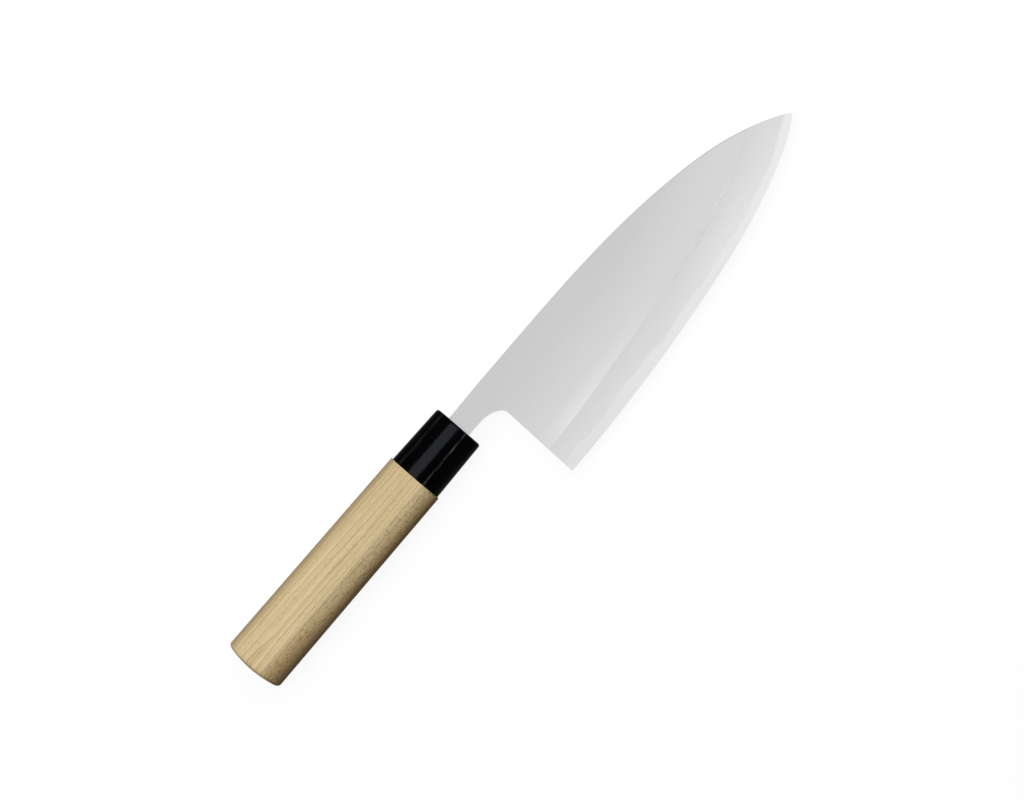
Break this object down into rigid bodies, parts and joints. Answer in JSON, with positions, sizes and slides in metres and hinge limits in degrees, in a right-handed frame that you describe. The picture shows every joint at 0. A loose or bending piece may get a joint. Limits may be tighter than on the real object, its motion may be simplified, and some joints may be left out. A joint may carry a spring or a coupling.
{
  "type": "deba knife",
  "caption": "Right-handed single-bevel deba knife for fish: laminated steel blade, black ferrule and D-section wooden handle.",
  "frame": {"origin": "bottom centre of the bounding box, with the knife level and its bevelled face up", "axes": "+X to the tip, +Y to the spine (the edge looks to -Y), +Z out of the bevelled face"},
  "size_m": [0.3076, 0.0584, 0.0207],
  "materials": {
    "soft_steel": "satin ground, fine lengthwise lines",
    "hard_steel": "brighter satin",
    "ferrule_resin": "polished black resin",
    "light_wood": "sanded, straight lengthwise grain",
    "adhesive": "cured adhesive, amber"
  },
  "bodies": {
    "root": {"blade_cladding": "soft_steel", "edge_steel": "hard_steel", "ferrule": "ferrule_resin", "grip": "light_wood", "tang_resin": "adhesive"}
  },
  "joints": []
}
